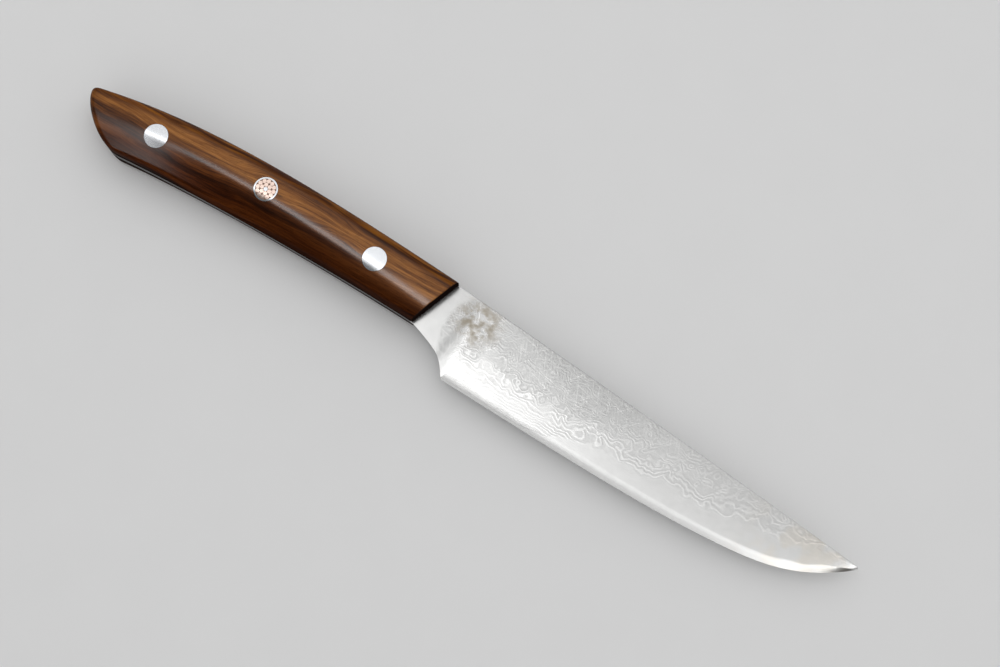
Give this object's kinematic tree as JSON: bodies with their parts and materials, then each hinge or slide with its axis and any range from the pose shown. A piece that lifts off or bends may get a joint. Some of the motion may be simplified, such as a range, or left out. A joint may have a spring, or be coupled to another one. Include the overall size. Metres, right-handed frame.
{
  "type": "boning knife",
  "caption": "Slim full-tang kitchen knife with a straight spine, upswept pattern-welded blade and riveted wooden scales with a mosaic pin.",
  "frame": {"origin": "middle of the knife's outline, on the surface that its left flank rests on", "axes": "+X along the spine to the tip, +Y to the spine side, +Z out of the right flank, up as the knife lies"},
  "size_m": [0.2312, 0.0242, 0.012],
  "materials": {
    "blade_steel": "satin, etched layered pattern",
    "handle_wood": "oiled and polished",
    "pin_steel": "ground flush and polished",
    "pin_copper": "polished copper",
    "pin_resin": "dark filled resin"
  },
  "bodies": {
    "root": {"blade": "blade_steel", "right_scale": "handle_wood", "left_scale": "handle_wood", "front_pin": "pin_steel", "rear_pin": "pin_steel", "mosaic_tube": "pin_steel", "mosaic_center_rod": "pin_steel", "mosaic_inner_rods": "pin_copper", "mosaic_outer_rods": "pin_copper", "mosaic_filler": "pin_resin"}
  },
  "joints": []
}
